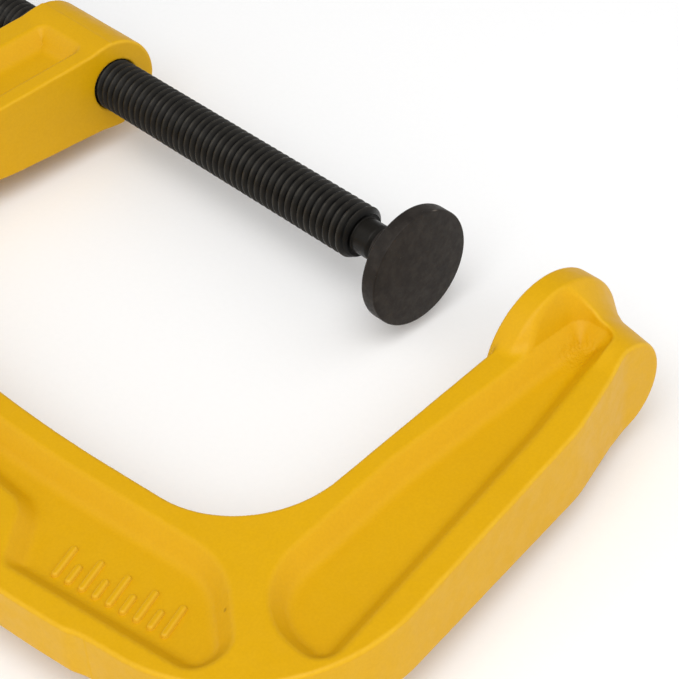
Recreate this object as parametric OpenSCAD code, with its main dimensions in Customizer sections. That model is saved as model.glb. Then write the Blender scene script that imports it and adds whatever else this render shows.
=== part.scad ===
// C clamp: a cast frame, a threaded screw with a cross hole for a sliding
// handle bar, and a swivel pad crimped over a ball at the screw's tip.
//
// The clamp lies on its side. X runs along the screw, towards the anvil.
// Y runs from the spine towards the jaw tips. Z is the frame's thickness.
// The origin is the centre of the anvil's clamping face, on the screw axis.
// Every length is in millimetres.

/* [Capacity] */
// Jaw opening with the screw fully backed out
capacity = 150; // [130:1:200]
// Jaw opening as drawn
opening = 42.3; // [20:0.1:100]
// Distance from the screw axis to the middle of the spine's inner edge
throat_depth = 108.5; // [100:0.5:130]

/* [Frame] */
// Length of the screw boss along the screw
boss_len = 35; // [30:1:40]
// Radius of the boss around the screw
boss_r = 14; // [13.8:0.1:15]
// Depth of the spine at its middle, from inner edge to outer edge
spine_depth = 40.5; // [39:0.5:44]
// Width of the anvil arm where it meets the spine
arm_w = 40; // [39:0.5:44]
// Radius of the throat's inner corners
throat_r = 29; // [20:1:32]
// Radius of the frame's outer corners
heel_r = 45; // [40:1:50]
// Half thickness of the frame at the spine's outer edge
spine_half_t = 7.2; // [7:0.1:8]
// Half thickness of the frame at the spine's inner edge
throat_half_t = 8.6; // [8.4:0.1:9]
// Half thickness of the anvil arm at the screw axis
anvil_arm_half_t = 12.2; // [11:0.1:12.8]
// Half thickness of the boss arm at the screw axis
boss_arm_half_t = 13.6; // [12.5:0.1:13.6]
// Height of the raised land along the spine's outer edge
land_h = 1; // [0.8:0.1:2]

/* [Anvil] */
// Radius of the anvil disc
anvil_r = 20.8; // [19:0.1:22]
// Thickness of the anvil disc
anvil_t = 6.5; // [5:0.1:7]
// Chamfer around the anvil's clamping face
anvil_chamfer = 1.4; // [0.5:0.1:2]
// Radius of the arm's rounded tip next to the disc
tip_r = 15; // [14:0.1:16]
// Radius of the arm's rounded tip at its outer face
tip_end_r = 13.2; // [12.9:0.1:13.9]
// Distance from the clamping face to the tip's outer face
tip_len = 26.5; // [25:0.1:26.9]

/* [Side pockets] */
// Depth of the pockets below the side faces
pocket_depth = 4.8; // [3:0.1:5.5]
// Width of the rim around the pockets
rim_w = 6; // [5.5:0.1:7]
// Height of the raised bars in the spine pocket
bar_h = 1; // [0.5:0.1:2]
// Number of raised bars in the spine pocket
bar_count = 9; // [3:2:11]

/* [Screw] */
// Radius of the screw over its thread
screw_r = 7.8; // [7:0.1:8]
// Thread pitch
pitch = 2.54; // [2:0.01:3]
// Depth of the thread
thread_depth = 1.5; // [1:0.05:1.6]
// Radial running clearance in the frame's bore
bore_gap = 0.06; // [0.02:0.01:0.1]
// Radius of the smooth neck next to the thread
neck_r = 5.2; // [5:0.1:5.3]
// Radius of the neck where it meets the ball
neck_tip_r = 3.3; // [3:0.1:3.5]
// Radius of the head that holds the handle bar
head_r = 9.5; // [8.5:0.1:11]
// Length of the head
head_len = 22; // [16:1:26]

/* [Swivel pad] */
// Radius of the pad's clamping face
pad_r = 16.8; // [15:0.1:18]
// Thickness of the pad's rim
pad_rim_t = 4.6; // [3:0.1:5.5]
// Height of the pad from its clamping face to its collar
pad_h = 13.5; // [13.5:0.1:14.5]
// Outer radius of the collar around the neck
collar_r = 6; // [5.9:0.1:7]
// Radius of the ball
ball_r = 4.8; // [4.6:0.1:4.8]
// Distance from the clamping face to the ball's centre
ball_depth = 8.6; // [8.2:0.1:8.6]
// Length from the thread's end to the pad's clamping face
tip_stack = 21; // [20.9:0.1:22]
// Radial clearance around the ball
ball_gap = 0.05; // [0.02:0.01:0.1]

/* [Handle] */
// Radius of the handle bar
bar_r = 4; // [3:0.1:4.5]
// Length of the handle bar
bar_len = 112; // [90:1:120]
// Radial clearance of the bar in the head's cross hole
bar_gap = 0.08; // [0.02:0.01:0.1]
// Radius of the knobs at the ends of the bar
knob_r = 6.2; // [5.5:0.1:7.5]
// Length of each knob
knob_len = 10; // [8:0.5:14]

/* [Hidden] */
$fn = 96;
// How far an outline's straight pieces may stand off its true arcs
arc_error = 0.04;

frame_yellow = [0.86, 0.65, 0.04];
screw_black = [0.13, 0.13, 0.14];
pad_black = [0.19, 0.17, 0.16];

// Places along the screw axis. The head stays outside the boss by head_margin
// when the pad reaches the anvil.
head_margin = 10;
boss_front = -capacity - tip_stack;
boss_back = boss_front - boss_len;
pad_face = -opening;
ball_x = pad_face - ball_depth;
thread_end = pad_face - tip_stack;
head_front = boss_back - head_margin - opening;
head_back = head_front - head_len;
head_mid = (head_front + head_back) / 2;

// The spine is symmetric about the plane x = middle. It is centred between the
// boss's face and a plane this far behind the anvil's clamping face.
anvil_set_back = 6;
middle = (boss_front + anvil_set_back) / 2;

// Frame outline. The throat's corners are at x0 and x1, the heels' outside them.
anvil_flare = 7.2;
boss_flare = 5;
throat_rise = 7.5;
anvil_heel_out = 5.4;
boss_heel_out = 1;
heel_drop = 31;
throat_x1 = anvil_flare;
throat_x0 = boss_front - boss_flare;
throat_y = -throat_depth + throat_rise;
heel_x1 = throat_x1 + arm_w + anvil_heel_out;
heel_x0 = throat_x0 - arm_w - boss_heel_out;
heel_y = throat_y - heel_drop;

// The spine's long edges bow outwards: the radii, and where their tangents meet
inner_bow_r = 420;
outer_bow_r = 430;
inner_mid_y = -throat_depth - 2.6;
outer_mid_y = -throat_depth - spine_depth - 6.6;

// Bends in the arms. Each has its own radius.
arm_inner_x = 2.5;
arm_bend = [35.8, -25];
arm_bend_r = 40;
tip_flare = 1.2;
anvil_root_y = -16;
anvil_root_r = 20;
boss_root_y = -38;
boss_bend_y = -50;
boss_bend_r = 90;
// Where the arm's rounded tip grows out of the anvil disc
tip_root = 14;

// The arm pockets run from beside the screw down to the spine
pocket_foot_y = -throat_depth - 4;
pocket_bow_r = 120;
pocket_heel_r = 6;

// The points of a closed outline whose corners are rounded. Each corner is
// [x, y, radius].
function rounded(c) = [
    for (i = [0 : len(c) - 1])
        each corner(xy(c[(i + len(c) - 1) % len(c)]), xy(c[i]),
                    xy(c[(i + 1) % len(c)]), c[i][2])
];
function xy(c) = [c[0], c[1]];
function unit(v) = v / norm(v);
function corner(before, at, after, r) =
    let (a = unit(before - at), b = unit(after - at),
         half = acos(a * b) / 2,
         centre = at + unit(a + b) * r / sin(half),
         first = at + a * r / tan(half) - centre,
         turn = (180 - 2 * half) * sign(a[1] * b[0] - a[0] * b[1]),
         steps = r == 0 ? 1 : ceil(abs(turn) / (2 * acos(1 - arc_error / r))))
    r == 0 ? [at] : [
        for (k = [0 : steps])
            let (t = turn * k / steps)
            centre + [first[0] * cos(t) - first[1] * sin(t),
                      first[0] * sin(t) + first[1] * cos(t)]
    ];

// Corners mirrored about the middle of the spine, in reverse order
function mirrored(c) = [
    for (i = [len(c) - 1 : -1 : 0]) [2 * middle - c[i][0], c[i][1], c[i][2]]
];

// The C seen from the side. The boss and the anvil's tip close its two ends.
module c_outline() {
    polygon(rounded([
        [boss_back, 0, 0],
        [boss_back, boss_bend_y, boss_bend_r],
        [heel_x0, heel_y, heel_r],
        [middle, outer_mid_y, outer_bow_r],
        [heel_x1, heel_y, heel_r],
        [arm_bend[0], arm_bend[1], arm_bend_r],
        [tip_len + tip_flare, 0, 0],
        [arm_inner_x, 0, 0],
        [arm_inner_x, anvil_root_y, anvil_root_r],
        [throat_x1, throat_y, throat_r],
        [middle, inner_mid_y, inner_bow_r],
        [throat_x0, throat_y, throat_r],
        [boss_front, boss_root_y, boss_bend_r],
        [boss_front, 0, 0],
    ]));
}

// A bar along X whose section tapers from the screw axis to the spine. Its
// faces lie below the frame's side faces by the amount sunk.
module taper_block(x0, x1, tip_half_t, sunk) {
    spine_y = -throat_depth - spine_depth;
    past_end = 30;
    side = [
        [past_end, tip_half_t - sunk],
        [0, tip_half_t - sunk],
        [-throat_depth, throat_half_t - sunk],
        [spine_y, spine_half_t - sunk],
        [spine_y - past_end, spine_half_t - sunk],
    ];
    outline = concat(side, [for (i = [len(side) - 1 : -1 : 0])
                            [side[i][0], -side[i][1]]]);
    translate([x0, 0, 0]) rotate([90, 0, 90])
        linear_extrude(x1 - x0) polygon(outline);
}

// The boss half and the anvil half of the tapered section, sunk by that amount
module taper_blocks(sunk) {
    past_end = 5;
    taper_block(heel_x0 - past_end, middle, boss_arm_half_t, sunk);
    taper_block(middle, heel_x1 + past_end, anvil_arm_half_t, sunk);
}

// A turned shape along X: profile points are [x, radius], on the screw axis
module turned(profile) {
    rotate([0, 90, 0]) rotate_extrude()
        polygon([for (p = profile) [p[1], p[0]]]);
}

// The pocket beside the throat in the anvil arm
module anvil_pocket() {
    top_y = 3.2;
    foot_r = 20;
    inner_x = arm_inner_x + rim_w + 1.5;
    polygon(rounded([
        [inner_x, top_y, 4],
        [inner_x + 0.3, -62, pocket_bow_r],
        [throat_x1 + rim_w + 2, pocket_foot_y, foot_r],
        [heel_x1 - 9.4, pocket_foot_y, pocket_heel_r],
        [arm_bend[0] - 6.6, arm_bend[1] - 6, 60],
        [tip_len - rim_w + 0.8, top_y, 4],
    ]));
}

// The pocket beside the throat in the boss arm
module boss_pocket() {
    top_y = -6;
    top_r = 3;
    foot_r = 14;
    inner_x = boss_front - rim_w;
    outer_x = boss_back + rim_w + 3;
    polygon(rounded([
        [inner_x, top_y, top_r],
        [outer_x, top_y, top_r],
        [outer_x, boss_bend_y - 6, 80],
        [heel_x0 + 12, pocket_foot_y, pocket_heel_r],
        [throat_x0 - rim_w - 2, pocket_foot_y, foot_r],
        [inner_x, boss_bend_y, pocket_bow_r],
    ]));
}

// The long pocket in the spine. It narrows beside a plain raised panel.
module spine_pocket() {
    far_half = [
        [middle, -throat_depth - 8.7, 400],
        [5.5, -throat_depth + 1.9, 24],
        [25.6, -throat_depth - 12.5, 8.5],
        [23.6, -throat_depth - 23.5, 7],
        [-31.5, -throat_depth - 32.5, 5],
        [-43, -throat_depth - 18.7, 9],
    ];
    near_half = mirrored([for (i = [1 : len(far_half) - 1]) far_half[i]]);
    polygon(rounded(concat(far_half, near_half)));
}

// Plain slanting bars raised from the spine pocket's floor
module pocket_bars() {
    width = 2;
    step = 4;
    row_slope = 10.5;
    lean = 9;
    long_bar = 9.6;
    short_bar = 6;
    translate([-8, -throat_depth - 17.6]) rotate(row_slope)
        for (i = [0 : bar_count - 1])
            translate([(i - (bar_count - 1) / 2) * step, -long_bar / 2]) rotate(lean)
                translate([-width / 2, 0])
                    square([width, i % 2 == 0 ? long_bar : short_bar]);
}

// The raised land along the middle of the spine's outer edge
module spine_land() {
    land_half = 81.5;
    land_depth = 12;
    bow_apex = -throat_depth - spine_depth;
    intersection() {
        translate([middle, bow_apex + outer_bow_r]) circle(outer_bow_r + land_h);
        translate([middle - land_half, bow_apex - land_h])
            square([2 * land_half, land_depth]);
    }
}

module frame() {
    color(frame_yellow) difference() {
        union() {
            intersection() {
                translate([0, 0, -boss_r]) linear_extrude(2 * boss_r) {
                    c_outline();
                    spine_land();
                }
                taper_blocks(0);
            }
            turned([[boss_back, 0], [boss_back, boss_r], [boss_front, boss_r],
                    [boss_front, 0]]);
            turned([[0, 0], [0, anvil_r - anvil_chamfer], [anvil_chamfer, anvil_r],
                    [anvil_t, anvil_r], [tip_root, tip_r], [tip_len, tip_end_r],
                    [tip_len, 0]]);
        }
        difference() {
            translate([0, 0, -boss_r]) linear_extrude(2 * boss_r) {
                anvil_pocket();
                boss_pocket();
                spine_pocket();
            }
            taper_blocks(pocket_depth);
            intersection() {
                taper_blocks(pocket_depth - bar_h);
                linear_extrude(boss_r) pocket_bars();
            }
        }
        turned([[boss_back - 1, 0], [boss_back - 1, screw_r + bore_gap],
                [boss_front + 1, screw_r + bore_gap], [boss_front + 1, 0]]);
    }
}

// The threaded rod, its smooth neck and the head that holds the handle bar.
// The thread is drawn as rings: one groove for each turn.
module screw() {
    crest = 0.14 * pitch;
    flank = 0.35 * pitch;
    end_chamfer = 1.2;
    root_r = screw_r - thread_depth;
    turns = floor((thread_end - head_front - end_chamfer) / pitch);
    thread_start = thread_end - end_chamfer - turns * pitch;
    rings = [
        for (i = [0 : turns - 1])
            let (x = thread_start + i * pitch)
            each [[x + crest, screw_r], [x + crest + flank, root_r],
                  [x + pitch - flank, root_r], [x + pitch, screw_r]]
    ];
    head_chamfer = 1.5;
    neck_len = 5.5;
    neck_taper = 2;
    neck_end = ball_x - ball_r / 2;
    color(screw_black) difference() {
        turned(concat(
            [[head_back, 0], [head_back, head_r - head_chamfer],
             [head_back + head_chamfer, head_r],
             [head_front - head_chamfer, head_r],
             [head_front, head_r - head_chamfer], [head_front, screw_r],
             [thread_start, screw_r]],
            rings,
            [[thread_end, root_r], [thread_end, neck_r],
             [thread_end + neck_len, neck_r],
             [thread_end + neck_len + neck_taper, neck_tip_r],
             [neck_end, neck_tip_r], [neck_end, 0]]));
        translate([ball_x, 0, 0]) sphere(ball_r + ball_gap);
        translate([head_mid, 0, 0]) rotate([90, 0, 0])
            cylinder(h = 3 * head_r, r = bar_r + bar_gap, center = true);
    }
}

// The ball at the end of the neck
module swivel_ball() {
    color(screw_black) translate([ball_x, 0, 0]) sphere(ball_r);
}

// The pad: a thick disc with a socket whose collar is closed over the ball
module swivel_pad() {
    collar_x = pad_face - pad_h;
    edge = 0.5;
    collar_wall = 1;
    mouth_r = collar_r - collar_wall;
    mouth_taper = 2.5;
    flare_len = 1.5;
    flare_rise = 0.7;
    rim_step = 0.4;
    rim_x = pad_face - pad_rim_t;
    color(pad_black) difference() {
        turned([[collar_x, 0], [collar_x, collar_r - edge], [collar_x + edge, collar_r],
                [collar_x + flare_len, collar_r + flare_rise],
                [rim_x, pad_r - rim_step], [rim_x + edge, pad_r],
                [pad_face - edge, pad_r], [pad_face, pad_r - edge], [pad_face, 0]]);
        translate([ball_x, 0, 0]) sphere(ball_r + ball_gap);
        turned([[collar_x - 1, 0], [collar_x - 1, mouth_r], [collar_x, mouth_r],
                [ball_x, mouth_r - mouth_taper], [ball_x, 0]]);
    }
}

// The bar that slides through the head
module handle_bar() {
    color(screw_black) translate([head_mid, 0, 0]) rotate([90, 0, 0])
        cylinder(h = bar_len, r = bar_r, center = true);
}

// A knob pressed on one end of the bar: side is -1 or 1 along Y
module handle_knob(side) {
    seat = 8;
    dome = 1.5;
    inner = bar_len / 2 - seat;
    color(screw_black) translate([head_mid, 0, 0]) rotate([-90 * side, 0, 0])
        difference() {
            rotate_extrude() polygon([
                [0, inner], [knob_r - dome / 2, inner], [knob_r, inner + dome / 2],
                [knob_r, inner + knob_len - dome],
                [knob_r - dome, inner + knob_len], [0, inner + knob_len]]);
            cylinder(h = bar_len / 2, r = bar_r);
        }
}

module handle_knob_near() handle_knob(-1);
module handle_knob_far() handle_knob(1);

frame();
screw();
swivel_ball();
swivel_pad();
handle_bar();
handle_knob_near();
handle_knob_far();
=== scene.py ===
import math

import bmesh
import bpy
import numpy as np
from mathutils import Matrix, Vector


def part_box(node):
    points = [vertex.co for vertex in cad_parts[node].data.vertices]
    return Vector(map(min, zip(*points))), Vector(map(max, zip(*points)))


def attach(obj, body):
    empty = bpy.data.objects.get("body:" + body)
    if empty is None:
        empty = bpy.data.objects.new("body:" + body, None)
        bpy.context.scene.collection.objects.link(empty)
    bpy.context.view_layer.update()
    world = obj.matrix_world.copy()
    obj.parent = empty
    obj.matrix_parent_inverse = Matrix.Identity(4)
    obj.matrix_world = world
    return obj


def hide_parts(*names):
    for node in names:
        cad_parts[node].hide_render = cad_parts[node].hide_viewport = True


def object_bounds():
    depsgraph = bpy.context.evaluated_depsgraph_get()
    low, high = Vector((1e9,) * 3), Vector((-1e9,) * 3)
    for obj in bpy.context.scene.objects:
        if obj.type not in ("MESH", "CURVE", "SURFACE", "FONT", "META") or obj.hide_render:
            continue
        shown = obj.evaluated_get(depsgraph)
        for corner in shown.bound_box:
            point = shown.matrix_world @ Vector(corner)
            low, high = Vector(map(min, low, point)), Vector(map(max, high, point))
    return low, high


# A C clamp in yellow enamel and black oxide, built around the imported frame.
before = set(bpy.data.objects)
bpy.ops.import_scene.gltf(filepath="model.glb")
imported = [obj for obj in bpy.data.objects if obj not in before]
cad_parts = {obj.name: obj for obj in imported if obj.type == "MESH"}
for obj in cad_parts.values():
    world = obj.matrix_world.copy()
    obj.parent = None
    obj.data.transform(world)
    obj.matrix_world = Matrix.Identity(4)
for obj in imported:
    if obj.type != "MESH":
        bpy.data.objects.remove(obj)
cad_low, cad_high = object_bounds()

MM = 0.001

# Sizes in millimetres, in the frame's axes: X along the screw towards the
# anvil, Y towards the jaw tips, Z through the clamp's thickness.
FRAME_LOW, FRAME_HIGH = (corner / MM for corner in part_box("frame"))
SCREW_LOW, SCREW_HIGH = (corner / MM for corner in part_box("screw"))
PAD_LOW, PAD_HIGH = (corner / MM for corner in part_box("swivel_pad"))
BAR_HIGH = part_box("handle_bar")[1] / MM

# Frame casting
ANVIL_R = FRAME_HIGH.z
ANVIL_T = 6.5
BOSS_FRONT = -171.0
BOSS_LEN = 35.0
BOSS_BACK = BOSS_FRONT - BOSS_LEN
BOSS_R = 14.0
BORE_R = 7.95
MIDDLE = (BOSS_FRONT + 6) / 2
THROAT_DEPTH = 108.5
SPINE_DEPTH = 40.5
THROAT_R = 29
HEEL_R = 45
INNER_BOW_R = 420
SPINE_HALF_T = 7.2
THROAT_HALF_T = 8.6
BOSS_ARM_HALF_T = 13.6
ANVIL_ARM_HALF_T = 12.2
TIP_ROOT, TIP_ROOT_R = 14.0, 15.0
TIP_LEN, TIP_END_R = 26.5, 13.2
POCKET_DEPTH = 4.8
# Slopes of the pockets' walls: below the side faces, and above them where they meet the disc
POCKET_SLOPE = 1.05
STEEP_SLOPE = 2.6
RIM_W = 6.0
LAND_H = 1.0
LAND_HALF = 81.5
LAND_RAMP = 6.0
OUTER_BOW_R = 430.0
BAR_MARK_H = 1.0
# The casting's surface undulates by RIPPLE, and is inset to stay in the CAD's box
RIPPLE = 0.02
INSET = 0.04

# Turned parts
SCREW_R = 7.8
PITCH = 2.54
THREAD_DEPTH = 1.5
TIP_STACK = 21.0
THREAD_END = PAD_HIGH.x - TIP_STACK
NECK_R = 5.2
NECK_TIP_R = 3.3
NECK_LEN = 5.5
NECK_TAPER = 2.0
HEAD_LEN = 22.0
HEAD_R = SCREW_HIGH.z
HEAD_FRONT = SCREW_LOW.x + HEAD_LEN
HEAD_MID = SCREW_LOW.x + HEAD_LEN / 2
PAD_R = PAD_HIGH.z
PAD_RIM_T = 4.6
COLLAR_R = 6.0
COLLAR_WALL = 1.0
BALL_DEPTH = 8.6
BALL_X = PAD_HIGH.x - BALL_DEPTH
BALL_R = 4.8
BALL_GAP = 0.05
CUP_GAP = 0.08
BAR_R = BAR_HIGH.z
BAR_GAP = 0.08
HOLE_R = BAR_R + BAR_GAP


# ---------------------------------------------------------------- outlines

def outline_pieces(corners):
    """The lines and arcs of a closed outline. Each corner is (x, y, radius), anticlockwise."""
    arcs = []
    for i, (cx, cy, radius) in enumerate(corners):
        at = np.array((cx, cy))
        back = np.array(corners[i - 1][:2]) - at
        ahead = np.array(corners[(i + 1) % len(corners)][:2]) - at
        back, ahead = back / np.linalg.norm(back), ahead / np.linalg.norm(ahead)
        half = math.acos(back @ ahead) / 2
        bisector = (back + ahead) / np.linalg.norm(back + ahead)
        centre = at + bisector * radius / math.sin(half)
        reach = radius / math.tan(half)
        turn = math.copysign(1, ahead[0] * back[1] - ahead[1] * back[0])
        arcs.append((centre, at + back * reach, at + ahead * reach, radius, turn))
    lines = [(arcs[i - 1][2], arcs[i][1]) for i in range(len(arcs))]
    return lines, arcs


def outline_distance(x, y, pieces):
    """Distance from points to an outline, negative inside it."""
    lines, arcs = pieces
    best = np.full(np.broadcast(x, y).shape, 1e9)
    sign = np.ones_like(best)

    def keep_nearest(distance, inside, where):
        nearer = where & (distance < best)
        best[nearer] = distance[nearer]
        sign[nearer] = np.where(inside, -1, 1)[nearer]

    for start, end in lines:
        along = end - start
        length = along @ along
        if length < 1e-9:
            continue
        px, py = x - start[0], y - start[1]
        t = np.clip((px * along[0] + py * along[1]) / length, 0, 1)
        distance = np.hypot(px - t * along[0], py - t * along[1])
        keep_nearest(distance, along[0] * py - along[1] * px > 0, True)
    for centre, start, end, radius, turn in arcs:
        px, py = x - centre[0], y - centre[1]
        reach = np.hypot(px, py)
        sx, sy = start - centre
        ex, ey = end - centre
        in_sector = ((sx * py - sy * px) * turn >= 0) & ((px * ey - py * ex) * turn >= 0)
        keep_nearest(np.abs(reach - radius), (radius - reach) * turn > 0, in_sector)
    return best * sign


def mirrored(corners):
    """Corners mirrored about the middle of the spine, in the same order."""
    return [(2 * MIDDLE - x, y, r) for x, y, r in corners]


THROAT_X1 = 7.2
THROAT_X0 = BOSS_FRONT - 5
THROAT_Y = -THROAT_DEPTH + 7.5
HEEL_X1 = THROAT_X1 + 45.4
HEEL_X0 = THROAT_X0 - 41
HEEL_Y = THROAT_Y - 31
ARM_INNER_X = 2.5
ARM_BEND_X, ARM_BEND_Y, ARM_BEND_R = 35.8, -25, 40
ANVIL_ROOT_Y, ANVIL_ROOT_R = -16, 20
BOSS_BEND_Y, BOSS_BEND_R = -50, 90
BOSS_ROOT_Y = -38
TIP_X = TIP_LEN + 1.2
POCKET_FOOT_Y = -THROAT_DEPTH - 4
PAST_TIP = 30

C_OUTLINE = outline_pieces([
    (BOSS_BACK, PAST_TIP, 1),
    (BOSS_BACK, BOSS_BEND_Y, BOSS_BEND_R),
    (HEEL_X0, HEEL_Y, HEEL_R),
    (MIDDLE, -THROAT_DEPTH - SPINE_DEPTH - 6.6, OUTER_BOW_R),
    (HEEL_X1, HEEL_Y, HEEL_R),
    (ARM_BEND_X, ARM_BEND_Y, ARM_BEND_R),
    (TIP_X, 0, 12),
    (TIP_LEN, PAST_TIP, 1),
    (ARM_INNER_X, PAST_TIP, 1),
    (ARM_INNER_X, ANVIL_ROOT_Y, ANVIL_ROOT_R),
    (THROAT_X1, THROAT_Y, THROAT_R),
    (MIDDLE, -THROAT_DEPTH - 2.6, INNER_BOW_R),
    (THROAT_X0, THROAT_Y, THROAT_R),
    (BOSS_FRONT, BOSS_ROOT_Y, BOSS_BEND_R),
    (BOSS_FRONT, PAST_TIP, 1),
])
ANVIL_POCKET = outline_pieces([
    (ARM_INNER_X + RIM_W + 1.5, 3.2, 4),
    (ARM_INNER_X + RIM_W + 1.8, -62, 120),
    (THROAT_X1 + RIM_W + 2, POCKET_FOOT_Y, 20),
    (HEEL_X1 - 9.4, POCKET_FOOT_Y, 6),
    (ARM_BEND_X - 6.6, ARM_BEND_Y - 6, 60),
    (TIP_LEN - RIM_W + 0.8, 3.2, 4),
])
BOSS_POCKET = outline_pieces([
    (BOSS_FRONT - RIM_W, -6, 3),
    (BOSS_BACK + RIM_W + 3, -6, 3),
    (BOSS_BACK + RIM_W + 3, BOSS_BEND_Y - 6, 80),
    (HEEL_X0 + 12, POCKET_FOOT_Y, 6),
    (THROAT_X0 - RIM_W - 2, POCKET_FOOT_Y, 14),
    (BOSS_FRONT - RIM_W, BOSS_BEND_Y, 120),
])
SPINE_HALF = [
    (5.5, -THROAT_DEPTH + 1.9, 24),
    (25.6, -THROAT_DEPTH - 12.5, 8.5),
    (23.6, -THROAT_DEPTH - 23.5, 7),
    (-31.5, -THROAT_DEPTH - 32.5, 5),
    (-43, -THROAT_DEPTH - 18.7, 9),
]
SPINE_POCKET = outline_pieces(
    [(MIDDLE, -THROAT_DEPTH - 8.7, 400)] + mirrored(SPINE_HALF) + SPINE_HALF[::-1])


# ------------------------------------------------------------ solid fields
# A field is a distance in millimetres: negative inside the metal.

def soft_max(a, b, k):
    """The larger of two fields, with the crease between them rounded by k."""
    h = np.maximum(k - np.abs(a - b), 0) / k
    return np.maximum(a, b) + h * h * k / 4


def soft_min(a, b, k):
    return -soft_max(-a, -b, k)


def round_meet(a, b, r):
    """Where two solids overlap, with the edge between them rounded to radius r."""
    u, v = np.maximum(a + r, 0), np.maximum(b + r, 0)
    return np.minimum(np.maximum(a, b), -r) + np.hypot(u, v)


def blend_step(x, low, high):
    t = np.clip((x - low) / (high - low), 0, 1)
    return t * t * (3 - 2 * t)


def half_thickness(x, y):
    """Half the casting's thickness, from the spine's outer edge up to the jaws."""
    at_jaw = BOSS_ARM_HALF_T + (ANVIL_ARM_HALF_T - BOSS_ARM_HALF_T) * blend_step(
        x, MIDDLE - 30, MIDDLE + 30)
    up_the_arm = THROAT_HALF_T + (at_jaw - THROAT_HALF_T) * np.minimum(
        1 + y / THROAT_DEPTH, 1.05)
    into_spine = THROAT_HALF_T + (SPINE_HALF_T - THROAT_HALF_T) * np.minimum(
        -(y + THROAT_DEPTH) / SPINE_DEPTH, 1.1)
    return np.where(y > -THROAT_DEPTH, up_the_arm, into_spine)


def frame_field(x, y, z):
    """The cast frame: a tapered C with a boss, an anvil disc and side pockets."""
    land_blend, tip_blend, disc_blend = 0.6, 1.6, 2.4
    boss_edge_r, arm_edge_r, face_edge_r, bore_edge_r = 0.9, 1.0, 0.9, 0.6
    disc_edge, disc_root = 0.5, 2.0
    pocket_foot, pocket_rim = 1.3, 0.8

    height = np.abs(z)
    rho = np.hypot(y, z)
    outline = outline_distance(x, y, C_OUTLINE)
    bow_y = -THROAT_DEPTH - SPINE_DEPTH + OUTER_BOW_R
    from_end = LAND_HALF - np.abs(x - MIDDLE)
    rise = LAND_H * blend_step(from_end, 0, LAND_RAMP)
    land = np.maximum(np.hypot(x - MIDDLE, y - bow_y) - OUTER_BOW_R - rise, -from_end)
    land = np.maximum(land, y + THROAT_DEPTH + SPINE_DEPTH / 2)
    outline = soft_min(outline, land, land_blend)

    half = half_thickness(x, y)
    tip_r = np.where(x < MIDDLE, BOSS_R, TIP_ROOT_R + (TIP_END_R - TIP_ROOT_R)
                     * np.clip((x - TIP_ROOT) / (TIP_LEN - TIP_ROOT), 0, 1))
    section = soft_min(np.maximum(height - half, y), rho - tip_r, tip_blend)
    body = round_meet(outline, section, np.where(x < MIDDLE, boss_edge_r, arm_edge_r))

    cone_x, cone_r = TIP_ROOT - ANVIL_T, ANVIL_R - TIP_ROOT_R
    cone = ((x - ANVIL_T) * cone_r + (rho - ANVIL_R) * cone_x) / math.hypot(cone_x, cone_r)
    disc = soft_max(rho - ANVIL_R, cone, disc_edge)
    disc = soft_max(disc, x - TIP_ROOT - 1, disc_root)
    face = -x - 3 * np.maximum(rho - ANVIL_R - 1, 0)
    with_disc = round_meet(soft_min(body, disc, disc_blend), face, face_edge_r)
    body = np.where(x < MIDDLE, body, with_disc)

    pocket = np.minimum(outline_distance(x, y, ANVIL_POCKET),
                        outline_distance(x, y, BOSS_POCKET))
    pocket = np.minimum(pocket, outline_distance(x, y, SPINE_POCKET))
    above = height - half
    wall = np.minimum((above - POCKET_SLOPE * pocket) / math.hypot(1, POCKET_SLOPE),
                      (above - STEEP_SLOPE * pocket) / math.hypot(1, STEEP_SLOPE))
    body = soft_max(body, soft_min(above + POCKET_DEPTH, wall, pocket_foot), pocket_rim)

    bore = round_meet(body, BORE_R - rho, bore_edge_r)
    ripple = np.sin(0.9 * x + 0.4 * y) * np.sin(0.7 * y - 0.3 * z) * np.sin(0.8 * z + 0.5 * x)
    return np.where(x < MIDDLE, bore, body) + INSET + RIPPLE * ripple


# --------------------------------------------------------------- mesh tools

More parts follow.
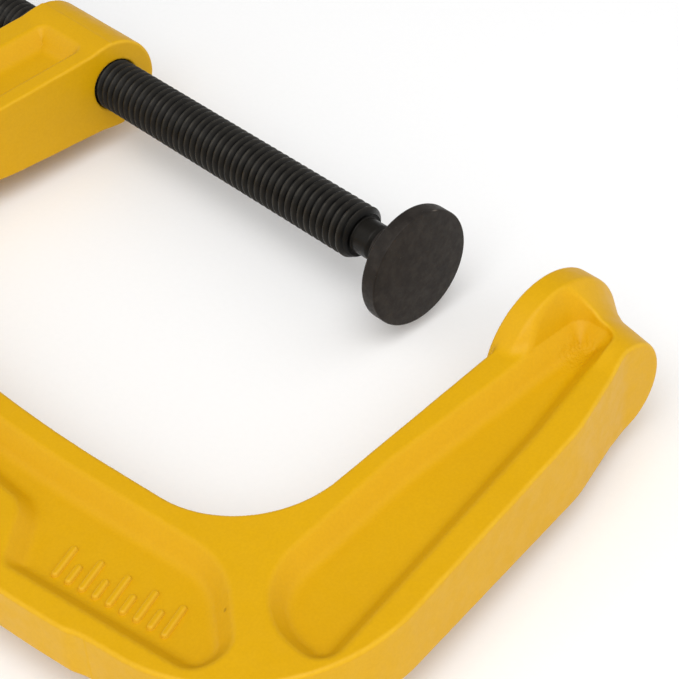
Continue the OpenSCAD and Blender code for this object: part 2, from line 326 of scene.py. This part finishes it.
def surface_net(field, low, high, step):
    """Points and quads on a field's surface: one point in each grid cell it crosses."""
    axes = [np.arange(a - step, b + 2 * step, step) for a, b in zip(low, high)]
    values = field(axes[0][:, None, None], axes[1][None, :, None], axes[2][None, None, :])
    inside = values < 0
    shape = np.array(inside.shape) - 1
    corners = [(i, j, k) for i in (0, 1) for j in (0, 1) for k in (0, 1)]
    spans = [tuple(slice(c[i], c[i] + shape[i]) for i in range(3)) for c in corners]
    count = sum(inside[span].astype(np.int8) for span in spans)
    cells = np.argwhere((count > 0) & (count < 8))
    index = np.full(tuple(shape), -1)
    index[tuple(cells.T)] = np.arange(len(cells))
    total = np.zeros((len(cells), 3))
    crossings = np.zeros((len(cells), 1))

    def at(corner):
        return values[tuple((cells + corner).T)]

    for a in corners:
        for axis in range(3):
            if a[axis]:
                continue
            b = tuple(1 if i == axis else a[i] for i in range(3))
            va, vb = at(a), at(b)
            crosses = (va < 0) != (vb < 0)
            t = np.where(crosses, va / np.where(crosses, va - vb, 1), 0)
            point = np.array(a, float)[None, :] + np.eye(3)[axis] * t[:, None]
            total += point * crosses[:, None]
            crossings += crosses[:, None]
    points = (cells + total / crossings) * step + [a[0] for a in axes]

    quads = []
    for axis in range(3):
        u, v = (axis + 1) % 3, (axis + 2) % 3
        ahead = np.roll(inside, -1, axis)
        edges = np.argwhere((inside != ahead))
        edges = edges[(edges[:, axis] < shape[axis]) & (edges[:, u] > 0) & (edges[:, v] > 0)
                      & (edges[:, u] < shape[u]) & (edges[:, v] < shape[v])]
        around = []
        for du, dv in ((0, 0), (1, 0), (1, 1), (0, 1)):
            cell = edges.copy()
            cell[:, u] -= du
            cell[:, v] -= dv
            around.append(index[tuple(cell.T)])
        quad = np.stack(around, 1)
        outward = inside[tuple(edges.T)]
        quad[~outward] = quad[~outward][:, ::-1]
        quads.append(quad)
    return points, np.concatenate(quads)


def gradient(field, points, reach=0.02):
    """A field's slope at points, by central differences."""
    columns = []
    for axis in range(3):
        step = np.eye(3)[axis] * reach
        columns.append(field(*(points + step).T) - field(*(points - step).T))
    return np.stack(columns, 1) / (2 * reach)


def settle(field, points, rounds):
    """Moves points onto the field's surface and returns them with their normals."""
    for _ in range(rounds):
        slope = gradient(field, points)
        pull = field(*points.T) / np.maximum((slope * slope).sum(1), 0.2)
        points = points - slope * np.clip(pull, -0.4, 0.4)[:, None]
    slope = gradient(field, points)
    return points, slope / np.linalg.norm(slope, axis=1, keepdims=True)


def new_piece(name, points, faces):
    """A mesh object from points in millimetres."""
    mesh = bpy.data.meshes.new(name)
    mesh.from_pydata((np.asarray(points) * MM).tolist(), [], [list(map(int, f)) for f in faces])
    mesh.validate()
    piece = bpy.data.objects.new(name, mesh)
    bpy.context.scene.collection.objects.link(piece)
    mesh.shade_smooth()
    return piece


def apply_modifiers(piece):
    graph = bpy.context.evaluated_depsgraph_get()
    mesh = bpy.data.meshes.new_from_object(piece.evaluated_get(graph))
    piece.modifiers.clear()
    piece.data = mesh


def make_frame():
    """The casting: its field's surface, thinned and then settled back onto the field."""
    step = 0.62
    most_triangles = 185000
    points, quads = surface_net(frame_field, FRAME_LOW, FRAME_HIGH, step)
    piece = new_piece("cast_frame", points, quads)
    thin = piece.modifiers.new("thin", "DECIMATE")
    thin.ratio = min(1, most_triangles / (2 * len(quads)))
    apply_modifiers(piece)
    mesh = piece.data
    flat = np.zeros(len(mesh.vertices) * 3)
    mesh.vertices.foreach_get("co", flat)
    points, normals = settle(frame_field, flat.reshape(-1, 3) / MM, 3)
    mesh.vertices.foreach_set("co", (points * MM).ravel())
    mesh.shade_smooth()
    mesh.normals_split_custom_set_from_vertices(normals.tolist())
    return piece


def rounded_profile(points, steps=6):
    """A profile of (x, r) points from (x, r, corner radius) points, with arcs at the corners."""
    profile = []
    for i, (x, r, radius) in enumerate(points):
        at = np.array((x, r), float)
        if radius == 0:
            profile.append(at)
            continue
        back = np.array(points[i - 1][:2]) - at
        ahead = np.array(points[i + 1][:2]) - at
        back, ahead = back / np.linalg.norm(back), ahead / np.linalg.norm(ahead)
        half = math.acos(np.clip(back @ ahead, -1, 1)) / 2
        reach = radius / math.tan(half)
        start, end = at + back * reach, at + ahead * reach
        centre = at + (back + ahead) / np.linalg.norm(back + ahead) * radius / math.sin(half)
        sweep = math.pi - 2 * half
        for t in np.linspace(0, 1, steps + 1):
            spread = math.sin((1 - t) * sweep), math.sin(t * sweep)
            profile.append(centre + ((start - centre) * spread[0]
                                     + (end - centre) * spread[1]) / math.sin(sweep))
    return profile


def lathe(profile, segments=96):
    """Points and faces of a profile turned about the X axis, closed where r is 0."""
    angles = np.arange(segments) * 2 * math.pi / segments
    points, rings, faces = [], [], []
    for x, r in profile:
        if r < 1e-6:
            rings.append([len(points)] * segments)
            points.append((x, 0, 0))
            continue
        rings.append(list(range(len(points), len(points) + segments)))
        points += [(x, r * math.cos(a), r * math.sin(a)) for a in angles]
    for a, b in zip(rings, rings[1:]):
        for j in range(segments):
            k = (j + 1) % segments
            corners = list(dict.fromkeys((a[j], b[j], b[k], a[k])))
            if len(corners) > 2:
                faces.append(corners[::-1])
    return points, faces


def finish_mesh(piece, sharp=32):
    """Merges doubles, turns the faces outwards and marks the sharp edges."""
    mesh = bmesh.new()
    mesh.from_mesh(piece.data)
    bmesh.ops.remove_doubles(mesh, verts=mesh.verts, dist=1e-6)
    bmesh.ops.dissolve_degenerate(mesh, edges=mesh.edges, dist=1e-7)
    bmesh.ops.recalc_face_normals(mesh, faces=mesh.faces)
    for edge in mesh.edges:
        edge.smooth = len(edge.link_faces) == 2 and edge.calc_face_angle() < math.radians(sharp)
    mesh.to_mesh(piece.data)
    mesh.free()


def helix_rows(start, end, columns):
    """Rows of (x, r) for a right-hand thread. Column j of a row is j / columns of a turn on."""
    root = SCREW_R - THREAD_DEPTH
    lead_in = 1.3
    shape = [(0, 0.02), (0.05, 0), (0.12, 0), (0.17, 0.05), (0.46, 0.93), (0.52, 1),
             (0.63, 1), (0.69, 0.93), (0.97, 0.07)]
    turn = np.arange(columns) / columns
    rows = []
    for k in range(-1, math.ceil((end - start) / PITCH) + 1):
        for phase, depth in shape:
            x = np.clip(start + (k + phase + turn) * PITCH, start, end)
            ends = np.minimum(x - start, end - x) / lead_in
            run_out = root + THREAD_DEPTH * np.minimum(ends, 1)
            rows.append((x, np.minimum(SCREW_R - THREAD_DEPTH * depth, run_out)))
    return rows, len(shape)


def make_screw():
    """The rod with its thread, neck and head. The handle's cross hole is cut through the head."""
    columns = 56
    root = SCREW_R - THREAD_DEPTH
    cup_r = BALL_R + CUP_GAP
    rows, per_turn = helix_rows(HEAD_FRONT, THREAD_END, columns)
    head = rounded_profile([
        (SCREW_LOW.x, 0, 0), (SCREW_LOW.x, HEAD_R, 1.6), (HEAD_FRONT, HEAD_R, 1.3),
        (HEAD_FRONT, root, 0)])
    neck = rounded_profile([
        (THREAD_END, root, 0), (THREAD_END, NECK_R, 0.3), (THREAD_END + NECK_LEN, NECK_R, 0.9),
        (THREAD_END + NECK_LEN + NECK_TAPER, NECK_TIP_R, 0.6),
        (BALL_X - math.sqrt(cup_r ** 2 - NECK_TIP_R ** 2), NECK_TIP_R, 0)])
    neck += [(BALL_X - cup_r * math.cos(a), cup_r * math.sin(a))
             for a in np.linspace(math.asin(NECK_TIP_R / cup_r), 0, 9)[1:]]
    angles = np.arange(columns) * 2 * math.pi / columns

    def plain(profile):
        return [(np.full(columns, x), np.full(columns, max(r, 1e-4))) for x, r in profile]

    all_rows = plain(head) + rows + plain(neck)
    first, last = len(head), len(head) + len(rows) - 1
    points = np.concatenate([np.stack((x, r * np.cos(angles), r * np.sin(angles)), 1)
                             for x, r in all_rows])

    def corner(row, column):
        if column < columns:
            return row * columns + column
        shifted = min(row + per_turn, last) if first <= row <= last else row
        return shifted * columns

    faces = [(corner(i, j), corner(i, j + 1), corner(i + 1, j + 1), corner(i + 1, j))
             for i in range(len(all_rows) - 1) for j in range(columns)]
    piece = new_piece("threaded_screw", points, faces)
    finish_mesh(piece)

    hole_points, hole_faces = lathe([(-2 * HEAD_R, 0), (-2 * HEAD_R, HOLE_R), (2 * HEAD_R, HOLE_R),
                                     (2 * HEAD_R, 0)])
    hole_points = [(HEAD_MID - y, x, z) for x, y, z in hole_points]
    cutter = new_piece("cross_hole", hole_points, hole_faces)
    finish_mesh(cutter)
    cut = piece.modifiers.new("cut", "BOOLEAN")
    cut.operation = "DIFFERENCE"
    cut.solver = "EXACT"
    cut.object = cutter
    apply_modifiers(piece)
    bpy.data.objects.remove(cutter)
    finish_mesh(piece)
    return piece


def make_pad():
    """The swivel pad: a thick rim, a hollow flare and a collar closed over the ball."""
    face_x = PAD_HIGH.x
    rim_x = face_x - PAD_RIM_T
    collar_x = PAD_LOW.x
    socket_r = BALL_R + BALL_GAP
    socket_turn = math.radians(124)
    mouth_r = COLLAR_R - COLLAR_WALL
    flare_x, flare_r = collar_x + 1.7, COLLAR_R + 0.15
    flare = [(flare_x + (rim_x - 0.5 - flare_x) * t,
              flare_r + (PAD_R - 0.8 - flare_r) * (0.45 * t + 0.55 * t ** 2.2), 0)
             for t in np.linspace(0, 1, 12)]
    outside = [
        (collar_x, mouth_r, 0), (collar_x, COLLAR_R, 0.45), (collar_x + 1.1, COLLAR_R, 0.4),
        *flare, (rim_x, PAD_R - 0.2, 0.3), (rim_x + 0.5, PAD_R, 0.4),
        (face_x, PAD_R, 0.45), (face_x, 0, 0)]
    wall = [(BALL_X + socket_r * math.cos(a), socket_r * math.sin(a))
            for a in np.linspace(0, socket_turn, 24)]
    profile = wall + rounded_profile([(wall[-1][0], wall[-1][1], 0)] + outside)[1:]
    piece = new_piece("pad", *lathe(profile, 128))
    finish_mesh(piece)
    return piece


def make_raised_bars():
    """Plain slanting bars cast on the spine pocket's floor, with sloped sides and round ends."""
    step, width, long_bar, short_bar = 4.0, 2.0, 9.6, 6.0
    row_turn, lean = math.radians(10.5), math.radians(9)
    row = np.array((-8, -THROAT_DEPTH - 17.6))
    bar_count = 9
    middle_bar = (bar_count - 1) / 2
    levels = [(0, -0.4), (0.1, 0.3), (0.25, 0.72), (0.5, 0.95), (0.8, 1)]
    around = np.arange(24) * 2 * math.pi / 24
    points, faces = [], []

    def turned(u, v, angle):
        return (u * math.cos(angle) - v * math.sin(angle),
                u * math.sin(angle) + v * math.cos(angle))

    for i in range(bar_count):
        length = long_bar if i % 2 == 0 else short_bar
        first = len(points)
        for inset, rise in levels:
            r = width / 2 - inset
            u = r * np.cos(around)
            v = r * np.sin(around) + np.where(np.sin(around) > 0, length - width / 2, width / 2)
            u, v = turned(u, v, lean)
            x, y = turned(u + (i - middle_bar) * step, v - long_bar / 2, row_turn)
            x, y = x + row[0], y + row[1]
            z = half_thickness(x, y) - POCKET_DEPTH + BAR_MARK_H * rise
            points += list(zip(x, y, z))
        count = len(around)
        for ring in range(len(levels) - 1):
            for j in range(count):
                k = (j + 1) % count
                base = first + ring * count
                faces.append((base + j, base + k, base + count + k, base + count + j))
        last = first + (len(levels) - 1) * count
        faces.append(range(last, last + count))
        faces.append(range(first + count - 1, first - 1, -1))
    piece = new_piece("raised_bars", points, faces)
    finish_mesh(piece, 60)
    return piece


def along_handle(points):
    """Turns a lathe's points from the screw axis onto the handle bar's axis."""
    return [(HEAD_MID - y, x, z) for x, y, z in points]


def make_bar():
    """The bar that slides through the head."""
    half = BAR_HIGH.y
    points, faces = lathe(rounded_profile([
        (-half, 0, 0), (-half, BAR_R, 0.5), (half, BAR_R, 0.5), (half, 0, 0)]), 64)
    piece = new_piece("sliding_bar", along_handle(points), faces)
    finish_mesh(piece)
    return piece


def make_knob(name, node):
    """A turned end knob with a groove, a domed end and the bar's riveted tip."""
    low, high = (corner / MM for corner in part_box(node))
    side = math.copysign(1, low.y + high.y)
    inner, outer = sorted((abs(low.y), abs(high.y)))
    r = high.z
    profile = rounded_profile([
        (inner, BAR_R + 0.02, 0), (inner, r - 0.9, 0.3), (inner + 0.9, r, 0.5),
        (inner + 2.6, r, 0.3), (inner + 3.1, r - 0.45, 0.25), (inner + 3.6, r, 0.3),
        (outer - 0.9, r, 1.2), (outer, r - 2.4, 1.5), (outer, 0, 0)])
    seat = [(outer - 2.0, 0), (outer - 2.0, BAR_R + 0.02)]
    points, faces = lathe(seat + profile, 72)
    piece = new_piece(name, [(x, side * y, z) for x, y, z in along_handle(points)], faces)
    finish_mesh(piece)
    return piece


# ------------------------------------------------------------------- looks

class Look:
    """A node material under construction. Colours are sRGB from 0 to 255."""

    def __init__(self, name):
        self.material = bpy.data.materials.new(name)
        self.material.use_nodes = True
        self.tree = self.material.node_tree
        self.shader = self.tree.nodes["Principled BSDF"]
        self.place = self.add("ShaderNodeTexCoord").outputs["Object"]

    def add(self, kind, inputs=None, **settings):
        node = self.tree.nodes.new(kind)
        for key, value in settings.items():
            setattr(node, key, value)
        for key, value in (inputs or {}).items():
            self.set(node.inputs[key], value)
        return node

    def set(self, socket, value):
        if isinstance(value, bpy.types.NodeSocket):
            self.tree.links.new(value, socket)
        else:
            socket.default_value = value

    def noise(self, size, detail=3.0, roughness=0.55):
        """Noise from 0 to 1 whose features measure size millimetres."""
        return self.add("ShaderNodeTexNoise", {
            "Vector": self.place, "Scale": 1 / (size * MM), "Detail": detail,
            "Roughness": roughness}).outputs["Fac"]

    def ramp(self, value, low, high, to_low=0.0, to_high=1.0):
        return self.add("ShaderNodeMapRange", {
            "Value": value, "From Min": low, "From Max": high, "To Min": to_low,
            "To Max": to_high}, interpolation_type="SMOOTHSTEP").outputs["Result"]

    def math(self, operation, a, b):
        return self.add("ShaderNodeMath", {0: a, 1: b}, operation=operation).outputs[0]

    def mix(self, amount, a, b):
        node = self.add("ShaderNodeMix", data_type="RGBA")
        for socket, value in ((node.inputs[0], amount), (node.inputs[6], a), (node.inputs[7], b)):
            self.set(socket, value)
        return node.outputs[2]

    def near(self, x, y, z, reach):
        """1 at a place in millimetres, falling to 0 at that reach."""
        offset = self.add("ShaderNodeVectorMath", {
            0: self.place, 1: (x * MM, y * MM, z * MM)}, operation="DISTANCE").outputs["Value"]
        return self.ramp(offset, 0.4 * reach * MM, reach * MM, 1, 0)

    def bumps(self, *layers):
        """Layers of (height from 0 to 1, depth in millimetres)."""
        normal = None
        for height, depth in layers:
            inputs = {"Height": height, "Distance": depth * MM, "Strength": 1.0}
            if normal:
                inputs["Normal"] = normal
            normal = self.add("ShaderNodeBump", inputs).outputs["Normal"]
        self.set(self.shader.inputs["Normal"], normal)


def srgb(r, g, b):
    """A linear RGBA colour from sRGB values of 0 to 255."""
    linear = [v / 255 / 12.92 if v <= 10 else ((v / 255 + 0.055) / 1.055) ** 2.4
              for v in (r, g, b)]
    return (*linear, 1)


def yellow_enamel():
    """Sprayed enamel over sand-cast iron: fine orange peel, a painted highlight on the convex edges
    and painted shade in the creases.
    """
    look = Look("yellow_enamel")
    point = look.add("ShaderNodeNewGeometry").outputs["Pointiness"]
    # edge: painted highlight, lighter paint along the convex edges
    edge = look.ramp(point, 0.515, 0.60)
    # hollow: painted shade, darker paint in the concave creases
    hollow = look.ramp(point, 0.49, 0.42)
    cloud = look.noise(26, 3)
    grain = look.ramp(look.noise(0.7, 2), 0.3, 0.7)
    base = look.mix(cloud, srgb(207, 156, 0), srgb(216, 165, 1))
    base = look.mix(look.math("MULTIPLY", grain, 0.18), base, srgb(190, 140, 0))
    # mixes in the painted crease shade
    base = look.mix(look.math("MULTIPLY", hollow, 0.45), base, srgb(176, 122, 0))
    # mixes in the painted edge highlight
    base = look.mix(look.math("MULTIPLY", edge, 0.62), base, srgb(240, 200, 70))
    pits = look.add("ShaderNodeTexVoronoi", {"Vector": look.place, "Scale": 1 / (38 * MM)})
    pit = look.ramp(pits.outputs["Distance"], 0.012, 0.022, 1, 0)
    base = look.mix(look.math("MULTIPLY", pit, 0.5), base, srgb(128, 92, 8))
    look.set(look.shader.inputs["Base Color"], base)
    look.set(look.shader.inputs["Roughness"], look.ramp(look.noise(4, 4), 0.3, 0.7, 0.42, 0.54))
    look.set(look.shader.inputs["Specular IOR Level"], 0.2)
    look.set(look.shader.inputs["Coat Weight"], 0.03)
    look.set(look.shader.inputs["Coat Roughness"], 0.28)
    bead = look.math("MULTIPLY", look.near(17, -4, 8, 8), look.noise(1.1, 3))
    look.bumps((look.noise(8, 2), 0.07), (look.noise(1.7, 3), 0.016), (look.noise(0.55, 2), 0.007),
               (bead, 0.35), (pit, -0.08))
    return look.material


def radius_from_axis(look):
    """Distance from the screw axis, in millimetres."""
    parts = look.add("ShaderNodeSeparateXYZ", {"Vector": look.place})
    y, z = parts.outputs["Y"], parts.outputs["Z"]
    square = look.math("ADD", look.math("MULTIPLY", y, y), look.math("MULTIPLY", z, z))
    return look.math("DIVIDE", look.math("SQRT", square, 0.0), MM)


def oxide_shell(look, dark, pale, wear, rough=(0.28, 0.46), metal=0.3):
    """Black oxide over steel: wear from 0 to 1 shows the paler, smoother metal; from the thread and
    the pad it also carries a painted highlight.
    """
    blotch = look.ramp(look.noise(3.5, 4), 0.35, 0.7)
    base = look.mix(look.math("MULTIPLY", blotch, 0.08), dark, pale)
    # mixes toward pale by wear, which also holds the painted highlight on the thread crests and pad
    # edges
    look.set(look.shader.inputs["Base Color"], look.mix(wear, base, pale))
    look.set(look.shader.inputs["Metallic"], metal)
    look.set(look.shader.inputs["Specular IOR Level"], 0.15)
    look.set(look.shader.inputs["Roughness"], look.ramp(look.noise(1.1, 3), 0.3, 0.7, *rough))


def thread_steel():
    """The screw: oxide worn to brown grey along the crests, which also carry a painted highlight,
    with painted shade near black deep in the grooves.
    """
    look = Look("thread_oxide")
    radius = radius_from_axis(look)
    crest = look.ramp(radius, SCREW_R - 0.5, SCREW_R - 0.05)
    # groove: 0 deep in the grooves, where painted shade goes, 1 up the flanks
    groove = look.ramp(radius, SCREW_R - THREAD_DEPTH + 0.1, SCREW_R - 0.5)
    # crest wear and painted highlight: paler along the crests, patchy by noise
    crest_wear_and_highlight = look.math("MULTIPLY", crest, look.ramp(look.noise(2.4, 4), 0.25, 0.75, 0.1, 0.85))
    neck = look.ramp(radius, NECK_R + 0.1, NECK_R + 0.4, 1, 0)
    # painted shade: near black deep in the grooves; the neck keeps the flank colour
    dark = look.mix(look.math("MAXIMUM", groove, neck), srgb(7, 7, 6), srgb(28, 26, 23))
    oxide_shell(look, dark, srgb(58, 55, 49), crest_wear_and_highlight)
    look.bumps((look.noise(0.35, 3), 0.008), (look.noise(1.6, 3), 0.015))
    return look.material


def plain_steel():
    """The ball, bar and knobs: even oxide with fine turning marks and light handling wear."""
    look = Look("handle_oxide")
    worn = look.ramp(look.noise(4, 5), 0.5, 0.8, 0, 0.6)
    oxide_shell(look, srgb(24, 23, 22), srgb(72, 68, 63), worn)
    look.bumps((look.noise(0.3, 3), 0.006), (look.noise(2, 3), 0.012))
    return look.material


def pad_steel():
    """The pad: brownish oxide, with fine specks, a painted highlight on the edges and a smooth
    faced front.
    """
    look = Look("pad_oxide")
    speck = look.ramp(look.noise(0.45, 2), 0.68, 0.78)
    point = look.add("ShaderNodeNewGeometry").outputs["Pointiness"]
    # edge: painted highlight, lighter along the pad's convex edges
    edge = look.ramp(point, 0.55, 0.66)
    # wear: the fine specks plus the painted edge highlight
    wear = look.math("MAXIMUM", look.math("MULTIPLY", speck, 0.4), look.math("MULTIPLY", edge, 0.7))
    oxide_shell(look, srgb(38, 34, 31), srgb(112, 104, 96), wear, (0.46, 0.58), 0.15)
    rings = look.math("SINE", look.math("MULTIPLY", radius_from_axis(look), 14.0), 0.0)
    look.bumps((rings, 0.0015), (look.noise(0.5, 3), 0.008), (look.noise(5, 3), 0.015))
    return look.material


def floor_paper():
    """A matt pale sweep with a barely visible grain."""
    look = Look("floor_paper")
    base = look.mix(look.noise(1.5, 3), srgb(247, 247, 247), srgb(250, 250, 250))
    look.set(look.shader.inputs["Base Color"], base)
    look.set(look.shader.inputs["Roughness"], 0.8)
    look.set(look.shader.inputs["Specular IOR Level"], 0.1)
    return look.material


# ------------------------------------------------------------------- stage

def make_camera():
    """The camera, from its place and the directions of its right and down."""
    place = Vector((244.66, -269.62, 321.32)) * MM
    right = Vector((0.68147, 0.72921, -0.06203))
    down = Vector((0.44990, -0.48428, -0.75037))
    ahead = right.cross(down)
    turn = Matrix((right, -down, -ahead)).transposed()
    data = bpy.data.cameras.new("camera")
    data.lens = 102.86
    data.sensor_width = 36
    data.clip_start = 0.01
    camera = bpy.data.objects.new("camera", data)
    camera.matrix_world = Matrix.Translation(place) @ turn.to_4x4()
    bpy.context.scene.collection.objects.link(camera)
    bpy.context.scene.camera = camera


def make_floor():
    """A wide pale floor just under the clamp."""
    half = 4.0
    gap = 0.0002
    z = cad_low[2] - gap
    mesh = bpy.data.meshes.new("floor")
    mesh.from_pydata([(-half, -half, z), (half, -half, z), (half, half, z), (-half, half, z)],
                     [], [(0, 1, 2, 3)])
    floor = bpy.data.objects.new("floor", mesh)
    bpy.context.scene.collection.objects.link(floor)
    floor.data.materials.append(floor_paper())


def make_sky():
    """A studio tent, bright around the sides, with a dim panel behind the clamp."""
    world = bpy.data.worlds.new("studio")
    bpy.context.scene.world = world
    world.use_nodes = True
    tree = world.node_tree
    place = tree.nodes.new("ShaderNodeTexCoord").outputs["Generated"]
    aim = tree.nodes.new("ShaderNodeVectorMath")
    aim.operation = "DOT_PRODUCT"
    aim.inputs[1].default_value = (-0.577, 0.483, 0.658)
    panel = tree.nodes.new("ShaderNodeMapRange")
    panel.interpolation_type = "SMOOTHSTEP"
    for name, value in (("From Min", 0.55), ("From Max", 0.92), ("To Min", 1.0), ("To Max", 0.25)):
        panel.inputs[name].default_value = value
    tree.nodes["Background"].inputs["Color"].default_value = (1, 1, 1, 1)
    tree.links.new(place, aim.inputs[0])
    tree.links.new(aim.outputs["Value"], panel.inputs["Value"])
    tree.links.new(panel.outputs["Result"], tree.nodes["Background"].inputs["Strength"])


def make_lamp(name, place, size, power):
    """A soft square lamp aimed at the origin."""
    light = bpy.data.lights.new(name, "AREA")
    light.size = size
    light.energy = power
    lamp = bpy.data.objects.new(name, light)
    lamp.location = place
    lamp.rotation_euler = (-Vector(place)).to_track_quat("-Z", "Y").to_euler()
    bpy.context.scene.collection.objects.link(lamp)


def dress(piece, body, material, slot, *nodes):
    """Puts a piece on its body, with its material, in place of CAD nodes."""
    piece.data.materials.clear()
    piece.data.materials.append(material)
    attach(piece, body)
    if nodes:
        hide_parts(*nodes)


def make_clamp():
    """Every piece, and the CAD's own ball with the handle's material."""
    steel = plain_steel()
    enamel = yellow_enamel()
    dress(make_frame(), "frame", enamel, "yellow_paint", "frame")
    dress(make_raised_bars(), "frame", enamel, "yellow_paint")
    dress(make_screw(), "screw", thread_steel(), "black_oxide_steel", "screw")
    dress(make_pad(), "pad", pad_steel(), "black_oxide_pad", "swivel_pad")
    dress(make_bar(), "handle", steel, "black_oxide_steel", "handle_bar")
    for name, node in (("near_knob", "handle_knob_near"), ("far_knob", "handle_knob_far")):
        dress(make_knob(name, node), "handle", steel, "black_oxide_steel", node)
    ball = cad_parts["swivel_ball"]
    ball.data.materials.clear()
    ball.data.materials.append(steel)


make_clamp()
make_floor()
make_sky()
make_lamp("key", (0.35, -0.4, 0.9), 0.9, 6)
make_camera()
bpy.context.scene.view_settings.view_transform = "Standard"
